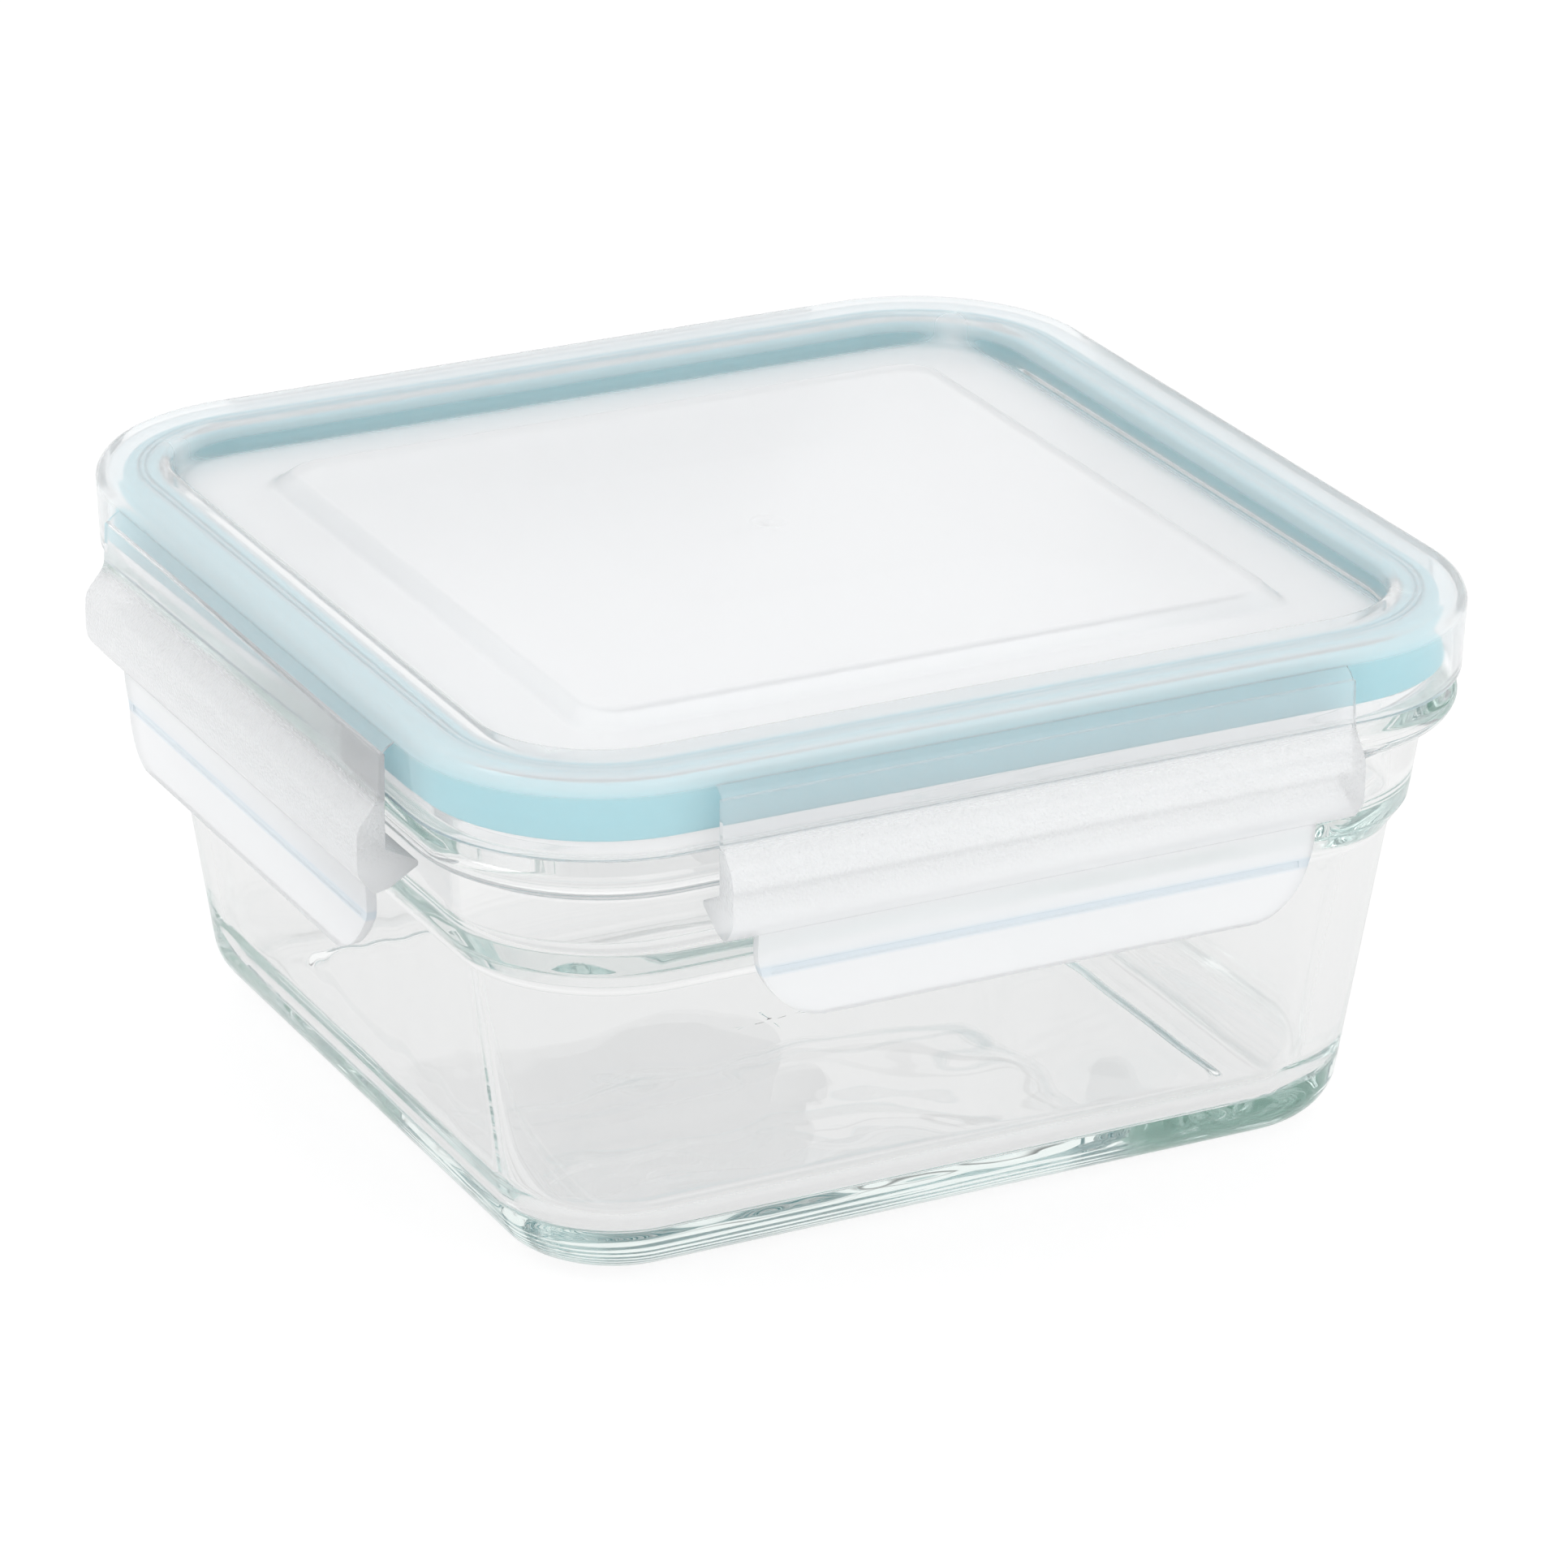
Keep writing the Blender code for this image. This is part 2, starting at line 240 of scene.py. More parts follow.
LIGHT_BOUNCES = 200
DIFFUSE_BOUNCES = 64
TRANSPARENT_BOUNCES = 16
FIREFLY_LIMIT = 2.0


def view_axes(azimuth, elevation, roll=0.0):
    """Right, up and back vectors of something that looks at the origin from that direction."""
    back = Vector((math.sin(azimuth) * math.cos(elevation),
                   -math.cos(azimuth) * math.cos(elevation), math.sin(elevation)))
    right = (-back).cross(Vector((0, 0, 1))).normalized()
    up = right.cross(-back)
    turned_right = right * math.cos(roll) + up * math.sin(roll)
    turned_up = up * math.cos(roll) - right * math.sin(roll)
    return turned_right, turned_up, back


def aimed(azimuth, elevation, distance, target, roll=0.0):
    """Matrix of a camera or lamp at a distance from target, aimed at it."""
    right, up, back = view_axes(azimuth, elevation, roll)
    turn = Matrix((right, up, back)).transposed().to_4x4()
    return Matrix.Translation(target + back * distance) @ turn


def make_camera():
    data = bpy.data.cameras.new("camera")
    data.lens = VIEW_LENS
    data.sensor_width = VIEW_SENSOR
    data.clip_start = VIEW_NEAR
    data.clip_end = VIEW_FAR
    camera = bpy.data.objects.new("camera", data)
    camera.matrix_world = aimed(VIEW_AZIMUTH, VIEW_ELEVATION, VIEW_DISTANCE, VIEW_TARGET, VIEW_ROLL)
    bpy.context.scene.collection.objects.link(camera)
    bpy.context.scene.camera = camera


def area_lamp(name, azimuth, elevation, distance, size, power):
    """Soft square lamp aimed at the container."""
    data = bpy.data.lights.new(name, "AREA")
    data.shape = "SQUARE"
    data.size = size
    data.energy = power
    lamp = bpy.data.objects.new(name, data)
    lamp.matrix_world = aimed(math.radians(azimuth), math.radians(elevation), distance, LAMP_TARGET)
    bpy.context.scene.collection.objects.link(lamp)


def make_world():
    """White to the camera, a softbox sky over a dark horizon in clear glass, else evenly lit."""
    world = bpy.data.worlds.new("studio")
    bpy.context.scene.world = world
    world.use_nodes = True
    nodes, links = world.node_tree.nodes, world.node_tree.links
    coords = nodes.new("ShaderNodeTexCoord")
    split = nodes.new("ShaderNodeSeparateXYZ")
    links.new(coords.outputs["Generated"], split.inputs["Vector"])
    above = ramp_between(nodes, links, split.outputs["Z"], HORIZON_TOP, HORIZON_FADE)
    sky = spread(nodes, links, above, SKY_HORIZON, SKY_WHITE)
    toward = nodes.new("ShaderNodeVectorMath")
    toward.operation = "DOT_PRODUCT"
    toward.inputs[1].default_value = view_axes(FRONT_AZIMUTH, FRONT_ELEVATION)[2]
    links.new(coords.outputs["Generated"], toward.inputs[0])
    front = ramp_between(nodes, links, toward.outputs["Value"], FRONT_EDGE, FRONT_FULL)
    extra = spread(nodes, links, front, 1.0, 1.0 + SKY_FRONT)
    level = math_node(nodes, links, "MULTIPLY", sky, extra)
    path = nodes.new("ShaderNodeLightPath")
    soft = spread(nodes, links, level, SKY_SOFT, SKY_SOFT + SKY_SOFT_SHARE)
    sharp = choose(nodes, links, path.outputs["Is Singular Ray"], soft, level)
    lit = math_node(nodes, links, "MAXIMUM", sharp, path.outputs["Is Camera Ray"])
    links.new(lit, nodes["Background"].inputs["Strength"])
    nodes["Background"].inputs["Color"].default_value = (1, 1, 1, 1)


def make_floor():
    """White table: burnt out to the camera, pale grey to the glass, with a faint contact shadow."""
    bm = bmesh.new()
    bmesh.ops.create_circle(bm, cap_ends=True, segments=TABLE_SIDES, radius=TABLE_RADIUS)
    mesh = bpy.data.meshes.new("floor")
    bm.to_mesh(mesh)
    bm.free()
    floor = bpy.data.objects.new("floor", mesh)
    floor.location = (0, 0, -TABLE_DROP)
    bpy.context.scene.collection.objects.link(floor)
    material, nodes, links, shader = new_material("table_white")
    shader.inputs["Base Color"].default_value = (TABLE_GREY, TABLE_GREY, TABLE_GREY, 1)
    shader.inputs["Roughness"].default_value = TABLE_ROUGH
    shader.inputs["Emission Color"].default_value = (1, 1, 1, 1)
    path = nodes.new("ShaderNodeLightPath")
    glow = spread(nodes, links, path.outputs["Is Singular Ray"], TABLE_GLOW_SOFT, TABLE_GLOW)
    seen = spread(nodes, links, path.outputs["Is Camera Ray"], 0, TABLE_GLOW_SEEN)
    glow = math_node(nodes, links, "MAXIMUM", glow, seen)
    links.new(glow, shader.inputs["Emission Strength"])
    mesh.materials.append(material)


# ---------------------------------------------------------------- materials

GLASS_TINT = (0.71, 0.83, 0.79, 1)
GLASS_DENSITY = 4.5
GLASS_IOR = 1.5
PLASTIC_WHITE = (0.985, 0.992, 1.0, 1)
PLASTIC_IOR = 1.12
PLASTIC_COAT = 0.4
COAT_ROUGH = 0.08
# Painted shade and bluish reflection for the tab's crease groove, mixed into the wing's base colour
GROOVE_PAINTED_SHADE_BLUE = (0.84, 0.91, 0.96, 1)
SEAL_BLUE = (0.29, 0.75, 0.83, 1)
SEAL_BLUE_LIGHT = (0.33, 0.78, 0.86, 1)

# How much light passes straight through the plastics
PANEL_CLEAR = 0.50
SKIRT_CLEAR = 0.84
RIM_CLEAR = 0.66
WING_LOW_CLEAR = 0.50
WING_HIGH_CLEAR = 0.86
WEB_CLEAR = 0.90

# Roughness: one value, or the lowest and highest of a cloudy stretch
PANEL_ROUGH = (0.38, 0.46)
RIM_ROUGH = 0.12
WING_LOW_ROUGH = (0.34, 0.44)
WING_HIGH_ROUGH = 0.10
WEB_ROUGH = 0.15
SEAL_ROUGH = 0.42

# Noises: waves per metre and detail
GLASS_WAVES = (45.0, 1.0)
PANEL_CLOUD = (40.0, 2.0)
LID_WAVES = (60.0, 1.0)
WING_CLOUD = (90.0, 3.0)
WING_GRAIN = (2200.0, 2.0)
WEB_LINES = (1500.0, 2.0)
SEAL_CLOUD = (150.0, 3.0)

# Bumps: strength and height in metres
GLASS_BUMP = (0.25, 0.001)
LID_BUMP = (0.03, 0.0004)
GRAIN_BUMP = (0.9, 0.0003)
WEB_BUMP = (0.2, 0.0001)

# Painted shade and bluish reflection in the groove: how far from its middle it ends and is full, in
# groove widths
PAINTED_SHADE_END = 0.7
PAINTED_SHADE_FULL = 0.3

# Places where the plastics change: half widths on the panel, and heights
PANEL_CLOUD_END = 0.0600
RIM_START = 0.0640
SKIRT_CLEAR_TOP = 0.0740
RIM_MILKY_FROM = 0.0752
WING_MILKY_TOP = 0.0655
WING_CLEAR_FROM = 0.0680
GRAIN_BOTTOM = 0.0565
GRAIN_FULL = 0.0610


def new_material(name):
    material = bpy.data.materials.new(name)
    material.use_nodes = True
    nodes = material.node_tree.nodes
    return material, nodes, material.node_tree.links, nodes["Principled BSDF"]


def object_noise(nodes, links, scale, detail):
    """Noise fixed to the object, with scale in waves per metre."""
    coords = nodes.new("ShaderNodeTexCoord")
    noise = nodes.new("ShaderNodeTexNoise")
    noise.inputs["Scale"].default_value = scale
    noise.inputs["Detail"].default_value = detail
    links.new(coords.outputs["Object"], noise.inputs["Vector"])
    return noise


def add_bump(nodes, links, shader, height, strength, distance):
    """Bump the shader's normal from a height output."""
    bump = nodes.new("ShaderNodeBump")
    bump.inputs["Strength"].default_value = strength
    bump.inputs["Distance"].default_value = distance
    links.new(height, bump.inputs["Height"])
    links.new(bump.outputs["Normal"], shader.inputs["Normal"])
    return bump


def spread(nodes, links, value, low, high):
    """Map a 0 to 1 output onto low to high."""
    node = nodes.new("ShaderNodeMapRange")
    node.inputs["To Min"].default_value = low
    node.inputs["To Max"].default_value = high
    links.new(value, node.inputs["Value"])
    return node.outputs["Result"]


def choose(nodes, links, factor, low, high):
    """Low where factor is 0, high where it is 1; either may be a number."""
    mix = nodes.new("ShaderNodeMix")
    links.new(factor, mix.inputs["Factor"])
    for name, value in (("A", low), ("B", high)):
        if isinstance(value, (int, float)):
            mix.inputs[name].default_value = value
        else:
            links.new(value, mix.inputs[name])
    return mix.outputs["Result"]


def ramp_between(nodes, links, value, low, high):
    """Smooth 0 to 1 as value goes from low to high."""
    node = nodes.new("ShaderNodeMapRange")
    node.interpolation_type = "SMOOTHSTEP"
    node.inputs["From Min"].default_value = low
    node.inputs["From Max"].default_value = high
    links.new(value, node.inputs["Value"])
    return node.outputs["Result"]


def glass_material():
    """Clear soda-lime glass: faint waves of pressed glass and a grey-green body colour."""
    material, nodes, links, shader = new_material("pressed_glass")
    shader.inputs["Base Color"].default_value = (1, 1, 1, 1)
    shader.inputs["Transmission Weight"].default_value = 1.0
    shader.inputs["IOR"].default_value = GLASS_IOR
    shader.inputs["Roughness"].default_value = 0.0
    waves = object_noise(nodes, links, *GLASS_WAVES)
    add_bump(nodes, links, shader, waves.outputs["Fac"], *GLASS_BUMP)
    absorb = nodes.new("ShaderNodeVolumeAbsorption")
    absorb.inputs["Color"].default_value = GLASS_TINT
    absorb.inputs["Density"].default_value = GLASS_DENSITY
    links.new(absorb.outputs["Volume"], nodes["Material Output"].inputs["Volume"])
    return material


def object_axes(nodes, links):
    """X, Y and Z outputs in the object's own frame."""
    coords = nodes.new("ShaderNodeTexCoord")
    split = nodes.new("ShaderNodeSeparateXYZ")
    links.new(coords.outputs["Object"], split.inputs["Vector"])
    return [split.outputs[axis] for axis in "XYZ"]


def math_node(nodes, links, operation, a, b):
    node = nodes.new("ShaderNodeMath")
    node.operation = operation
    for socket, value in zip(node.inputs, (a, b)):
        if isinstance(value, (int, float)):
            socket.default_value = value
        else:
            links.new(value, socket)
    return node.outputs["Value"]


def frosted_plastic(name):
    """Natural polypropylene: a milky body under a polished skin."""
    material, nodes, links, shader = new_material(name)
    shader.inputs["IOR"].default_value = PLASTIC_IOR
    shader.inputs["Base Color"].default_value = PLASTIC_WHITE
    shader.inputs["Coat Weight"].default_value = PLASTIC_COAT
    shader.inputs["Coat Roughness"].default_value = COAT_ROUGH
    return material, nodes, links, shader


def lid_material():
    """Lid: cloudy sunken panel, milky rim, clear skirt, and faint flow waves."""
    material, nodes, links, shader = frosted_plastic("lid_polypropylene")
    across, along, height_up = object_axes(nodes, links)
    half = math_node(nodes, links, "MAXIMUM", math_node(nodes, links, "ABSOLUTE", across, 0),
                     math_node(nodes, links, "ABSOLUTE", along, 0))
    rim = ramp_between(nodes, links, half, PANEL_CLOUD_END, RIM_START)
    cloud = object_noise(nodes, links, *PANEL_CLOUD)
    panel_rough = spread(nodes, links, cloud.outputs["Fac"], *PANEL_ROUGH)
    links.new(choose(nodes, links, rim, panel_rough, RIM_ROUGH), shader.inputs["Roughness"])
    top = ramp_between(nodes, links, height_up, SKIRT_CLEAR_TOP, RIM_MILKY_FROM)
    edge_clear = spread(nodes, links, top, SKIRT_CLEAR, RIM_CLEAR)
    see_through = choose(nodes, links, rim, PANEL_CLEAR, edge_clear)
    links.new(see_through, shader.inputs["Transmission Weight"])
    waves = object_noise(nodes, links, *LID_WAVES)
    add_bump(nodes, links, shader, waves.outputs["Fac"], *LID_BUMP)
    return material


def wing_material():
    """Wing: clear over the skirt, milky below, painted shade and bluish reflection along the
    groove, and a grain over the bulge.
    """
    material, nodes, links, shader = frosted_plastic("wing_polypropylene")
    height_up = object_axes(nodes, links)[2]
    upper = ramp_between(nodes, links, height_up, WING_MILKY_TOP, WING_CLEAR_FROM)
    cloud = object_noise(nodes, links, *WING_CLOUD)
    low_rough = spread(nodes, links, cloud.outputs["Fac"], *WING_LOW_ROUGH)
    rough = choose(nodes, links, upper, low_rough, WING_HIGH_ROUGH)
    links.new(rough, shader.inputs["Roughness"])
    see_through = spread(nodes, links, upper, WING_LOW_CLEAR, WING_HIGH_CLEAR)
    links.new(see_through, shader.inputs["Transmission Weight"])
    above = ramp_between(nodes, links, height_up, GRAIN_BOTTOM, GRAIN_FULL)
    band = math_node(nodes, links, "SUBTRACT", above, upper)
    # Painted shade and bluish reflection: the base colour goes darker and bluer along the crease
    # groove
    crease = math_node(nodes, links, "ABSOLUTE",
                       math_node(nodes, links, "SUBTRACT", height_up, TAB_BEND_Z), 0)
    crease = ramp_between(nodes, links, crease, GROOVE_WIDTH * PAINTED_SHADE_END, GROOVE_WIDTH * PAINTED_SHADE_FULL)
    painted_shade_mix = nodes.new("ShaderNodeMix")
    painted_shade_mix.data_type = "RGBA"
    painted_shade_mix.inputs["A"].default_value = PLASTIC_WHITE
    painted_shade_mix.inputs["B"].default_value = GROOVE_PAINTED_SHADE_BLUE
    links.new(crease, painted_shade_mix.inputs["Factor"])
    links.new(painted_shade_mix.outputs["Result"], shader.inputs["Base Color"])
    grain = object_noise(nodes, links, *WING_GRAIN)
    height = math_node(nodes, links, "MULTIPLY", grain.outputs["Fac"], band)
    bump = add_bump(nodes, links, shader, height, *GRAIN_BUMP)
    links.new(bump.outputs["Normal"], shader.inputs["Coat Normal"])
    return material


def film_material():
    """Hinge web: thin and clear, with fine stretch lines."""
    material, nodes, links, shader = frosted_plastic("hinge_polypropylene")
    shader.inputs["Transmission Weight"].default_value = WEB_CLEAR
    shader.inputs["Roughness"].default_value = WEB_ROUGH
    lines = object_noise(nodes, links, *WEB_LINES)
    add_bump(nodes, links, shader, lines.outputs["Fac"], *WEB_BUMP)
    return material


def silicone_material():
    """Pale blue satin silicone with a faint mottling."""
    material, nodes, links, shader = new_material("seal_silicone")
    cloud = object_noise(nodes, links, *SEAL_CLOUD)
    mix = nodes.new("ShaderNodeMix")
    mix.data_type = "RGBA"
    mix.inputs["A"].default_value = SEAL_BLUE
    mix.inputs["B"].default_value = SEAL_BLUE_LIGHT
    links.new(cloud.outputs["Fac"], mix.inputs["Factor"])
    links.new(mix.outputs["Result"], shader.inputs["Base Color"])
    shader.inputs["Roughness"].default_value = SEAL_ROUGH
    return material


# ---------------------------------------------------------------- outlines and sweeps

def fillet(before, corner, after, radius):
    """Points of an arc that rounds one corner of an outline, or the corner if it has no radius."""
    ax, az = before[0] - corner[0], before[1] - corner[1]
    bx, bz = after[0] - corner[0], after[1] - corner[1]
    la, lb = math.hypot(ax, az), math.hypot(bx, bz)
    ax, az, bx, bz = ax / la, az / la, bx / lb, bz / lb
    half_angle = math.acos(max(-1.0, min(1.0, ax * bx + az * bz))) / 2
    if radius <= 0 or half_angle > NEARLY_STRAIGHT:
        return [corner[:2]]
    setback = min(radius / math.tan(half_angle), SETBACK_SHARE * la, SETBACK_SHARE * lb)
    radius = setback * math.tan(half_angle)
    mx, mz = ax + bx, az + bz
    reach = radius / math.sin(half_angle) / math.hypot(mx, mz)
    cx, cz = corner[0] + mx * reach, corner[1] + mz * reach
    start = math.atan2(corner[1] + az * setback - cz, corner[0] + ax * setback - cx)
    end = math.atan2(corner[1] + bz * setback - cz, corner[0] + bx * setback - cx)
    sweep = (end - start + math.pi) % (2 * math.pi) - math.pi
    steps = math.ceil(abs(sweep) * radius / FILLET_CHORD)
    steps = max(FILLET_STEPS_MIN, min(FILLET_STEPS_MAX, steps))
    return [(cx + radius * math.cos(start + sweep * i / steps),
             cz + radius * math.sin(start + sweep * i / steps)) for i in range(steps + 1)]


def rounded(outline, closed, run_step=RUN_STEP):
    """Round each (across, height, radius) corner of an outline and divide its long runs."""
    path = []
    for i, corner in enumerate(outline):
        if not closed and i in (0, len(outline) - 1):
            path.append(corner[:2])
            continue
        after = outline[(i + 1) % len(outline)]
        path.extend(fillet(outline[i - 1], corner, after, corner[2]))
    fine = []
    ends = zip(path, path[1:] + path[:1]) if closed else zip(path, path[1:])
    for (u0, z0), (u1, z1) in ends:
        length = math.hypot(u1 - u0, z1 - z0)
        count = max(1, math.ceil(length / run_step))
        shares = [i / count for i in range(count)]
        if length > 4 * RUN_END:
            shares[1:1] = [RUN_END / length]
            shares.append(1 - RUN_END / length)
        fine.extend((u0 + (u1 - u0) * share, z0 + (z1 - z0) * share) for share in shares)
    if not closed:
        fine.append(path[-1])
    return fine


def ring(half, radius, z):
    """Points of a rounded square at height z, counter-clockwise from the +X side."""
    points = []
    flat = half - radius
    for quarter in range(4):
        turn = quarter * math.pi / 2
        cos_t, sin_t = math.cos(turn), math.sin(turn)
        local = [(half, -flat + 2 * flat * i / SIDE_STEPS) for i in range(SIDE_STEPS)]
        for i in range(CORNER_STEPS):
            angle = i * math.pi / 2 / CORNER_STEPS
            local.append((flat + radius * math.cos(angle), flat + radius * math.sin(angle)))
        points.extend((x * cos_t - y * sin_t, x * sin_t + y * cos_t, z) for x, y in local)
    return points


def add_piece(name, bm, material, body, nodes):
    """A smooth piece that rides on a body and stands for CAD nodes."""
    bmesh.ops.recalc_face_normals(bm, faces=bm.faces)
    mesh = bpy.data.meshes.new(name)
    bm.to_mesh(mesh)
    bm.free()
    mesh.shade_smooth()
    mesh.materials.append(material)
    piece = bpy.data.objects.new(name, mesh)
    bpy.context.scene.collection.objects.link(piece)
    if body:
        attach(piece, body)
    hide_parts(*nodes)
    return piece


def loft_square(path, corner_radius, closed):
    """Sweep a section path round the square: closed makes a hoop, open a capped solid."""
    bm = bmesh.new()
    rings = [[bm.verts.new(p) for p in ring(u, corner_radius(u), z)] for u, z in path]
    count = len(rings[0])
    pairs = list(zip(rings, rings[1:]))
    if closed:
        pairs.append((rings[-1], rings[0]))
    for low, high in pairs:
        for i in range(count):
            j = (i + 1) % count
            bm.faces.new((low[i], low[j], high[j], high[i]))
    if not closed:
        bm.faces.new(rings[0])
        bm.faces.new(rings[-1])
    return bm


def glass_corner(half):
    """Plan radius of the bowl's outer corners, which grows with the taper."""
    return min(half, max(CORNER_MIN, FOOT_CORNER + CORNER_GROWTH * (half - FOOT_HALF)))


def lid_corner(half):
    """Plan radius of the lid's corners: parallel to the skirt, down to a circle at the gate."""
    return min(half, max(BOSS_CORNER, LID_CORNER - (LID_HALF - half)))


# ---------------------------------------------------------------- bowl, lid and seal

def build_bowl():
    """Foot ring, tapered wall, step, neck, flange and rim, then the inside down to the floor."""
    taper = (WALL_TOP_HALF - WALL_FOOT_HALF) / STEP_LOW
    inner_foot = WALL_FOOT_HALF + taper * GLASS_FLOOR - GLASS_WALL
    outline = [
        (0.0010, FOOT_RECESS, 0),
        (FOOT_RING_INNER - 0.0014, FOOT_RECESS, 0.0016),
        (FOOT_RING_INNER, 0, 0.0010),
        (WALL_FOOT_HALF, 0, BASE_ROUND),
        (WALL_TOP_HALF, STEP_LOW, 0.0020),
        (NECK_LOW_HALF, STEP_HIGH, 0.0020),
        (NECK_TOP_HALF, NECK_TOP, 0.0010),
        (FLANGE_HALF - 0.0010, FLANGE_LOW, 0.0020),
        (FLANGE_HALF, SHOULDER - 0.0026, 0.0020),
        (FLANGE_HALF - SHOULDER_SLOPE, SHOULDER, 0.0030),
        (RIM_OUTER_HALF + 0.0002, SHOULDER, 0.0006),
        (RIM_OUTER_HALF, RIM_TOP, 0.0015),
        (MOUTH_HALF, RIM_TOP, 0.0015),
        (NECK_LOW_HALF - 0.0027, STEP_HIGH + 0.0030, 0.0040),
        (WALL_TOP_HALF - GLASS_WALL, STEP_LOW + 0.0010, 0.0040),
        (inner_foot, GLASS_FLOOR, 0.0080),
        (0.0010, GLASS_FLOOR, 0),
    ]
    bm = loft_square(rounded(outline, False), glass_corner, False)
    add_piece("bowl_glass", bm, glass_material(), "bowl", ["glass_bowl"])


def rib(middle):
    """One of the fine ribs under the channel's roof that seat the seal."""
    return [
        (middle + RIB_WIDTH / 2, CHANNEL_ROOF, 0.0001),
        (middle + RIB_WIDTH / 3, CHANNEL_ROOF - RIB_DEPTH, 0.0001),
        (middle - RIB_WIDTH / 3, CHANNEL_ROOF - RIB_DEPTH, 0.0001),
        (middle - RIB_WIDTH / 2, CHANNEL_ROOF, 0.0001),
    ]


def build_lid(material):
    """Gate mark, crowned boss, sunken panel, raised rim and skirt, then back underneath."""
    outline = [
        (0.0002, BOSS_CROWN, 0),
        (0.0008, BOSS_CROWN - GATE_DEPTH, 0.0003),
        (GATE_RADIUS - 0.0004, BOSS_CROWN - GATE_DEPTH, 0.0003),
        (GATE_RADIUS, BOSS_CROWN, 0.0003),
        (CROWN_HALF, BOSS_CROWN, 0.1),
        (BOSS_HALF, BOSS_EDGE, 0.0012),
        (BOSS_FOOT_HALF, PANEL_TOP, 0.0012),
        (RIM_INNER_HALF - 0.0002, PANEL_TOP, 0.0010),
        (RIM_INNER_HALF, LID_TOP, 0.0012),
        (LID_HALF, LID_TOP, LID_ROUND),
        (SKIRT_HALF, SKIRT_BOTTOM, 0.0003),
        (SKIRT_INNER_HALF, SKIRT_BOTTOM, 0.0003),
        (SKIRT_INNER_HALF, CHANNEL_ROOF, 0.0006),
        *rib(RIB_OUTER_HALF),
        *rib(RIB_INNER_HALF),
        (PLUG_HALF, CHANNEL_ROOF, 0.0006),
        (PLUG_HALF - 0.0002, PLUG_BOTTOM, 0.0003),
        (PLUG_HALF - PLASTIC, PLUG_BOTTOM, 0.0003),
        (PLUG_HALF - PLASTIC - 0.0003, PANEL_TOP - PLASTIC, 0.0010),
        (BOSS_FOOT_HALF + 0.0008, PANEL_TOP - PLASTIC, 0.0012),
        (BOSS_HALF - 0.0006, BOSS_EDGE - PLASTIC, 0.0012),
        (CROWN_HALF, BOSS_CROWN - PLASTIC, 0.1),
        (0.0010, BOSS_CROWN - PLASTIC, 0),
    ]
    bm = loft_square(rounded(outline, False), lid_corner, False)
    add_piece("lid_moulding", bm, material, "lid", ["lid_panel"])


def build_seal():
    """Seal with two ribs against the channel's roof and a flared outer lip."""
    outline = [
        (SEAL_INNER_HALF, SEAL_BOTTOM, 0.0004),
        (SEAL_INNER_HALF, SEAL_TOP, 0.0005),
        (SEAL_GROOVE_IN, SEAL_TOP, 0.0003),
        (SEAL_GROOVE_IN + 0.0003, SEAL_TOP - SEAL_GROOVE_DEPTH, 0.0002),
        (SEAL_GROOVE_OUT - 0.0003, SEAL_TOP - SEAL_GROOVE_DEPTH, 0.0002),
        (SEAL_GROOVE_OUT, SEAL_TOP, 0.0003),
        (SEAL_OUTER_HALF, SEAL_TOP, 0.0011),
        (SEAL_OUTER_HALF + 0.0001, SEAL_TOP - 0.0048, 0.0030),
        (LIP_OUTER_HALF, LIP_BOTTOM, 0.0003),
        (LIP_INNER_HALF, LIP_BOTTOM, 0.0003),
        (LIP_INNER_HALF - 0.0004, SEAL_BOTTOM, 0.0004),
    ]
    bm = loft_square(rounded(outline, True), lid_corner, True)
    add_piece("seal", bm, silicone_material(), "lid", ["lid_gasket"])


# ---------------------------------------------------------------- wings and living hinges

def extrude(outline, ends, place):
    """Extrude a closed outline between two depths; place gives the point of a corner."""
    bm = bmesh.new()
    rows = [[bm.verts.new(place(a, b, depth)) for a, b in outline] for depth in ends]
    count = len(outline)
    for i in range(count):
        j = (i + 1) % count
        bm.faces.new((rows[0][i], rows[0][j], rows[1][j], rows[1][i]))
    bm.faces.new(rows[0])
    bm.faces.new(rows[1])
    bmesh.ops.recalc_face_normals(bm, faces=bm.faces)
    return bm


def prism(outline, half_length):
    """Extrude an (out, height) outline along X; out points to -Y."""
    return extrude(outline, (-half_length, half_length), lambda u, z, x: (x, -u, z))


def slab(outline):
    """Extrude an (x, height) outline along Y, past the front wing on both sides."""
    return extrude(outline, (TAB_TOOL_FAR, TAB_TOOL_NEAR), lambda x, z, y: (x, y, z))


def temporary(bm):
    """An object for a Boolean to use."""
    mesh = bpy.data.meshes.new("tool")
    bm.to_mesh(mesh)
    bm.free()
    obj = bpy.data.objects.new("tool", mesh)
    bpy.context.scene.collection.objects.link(obj)
    return obj


def applied(obj):
    """A copy of the object's mesh with its modifiers applied."""
    depsgraph = bpy.context.evaluated_depsgraph_get()
    return bpy.data.meshes.new_from_object(obj.evaluated_get(depsgraph))


def combine(base, tool, operation):
    """Apply one Boolean to base and remove the tool."""
    modifier = base.modifiers.new("combine", "BOOLEAN")
    modifier.operation = operation
    modifier.object = tool
    mesh = applied(base)
    base.modifiers.clear()
    base.data = mesh
    bpy.data.objects.remove(tool, do_unlink=True)


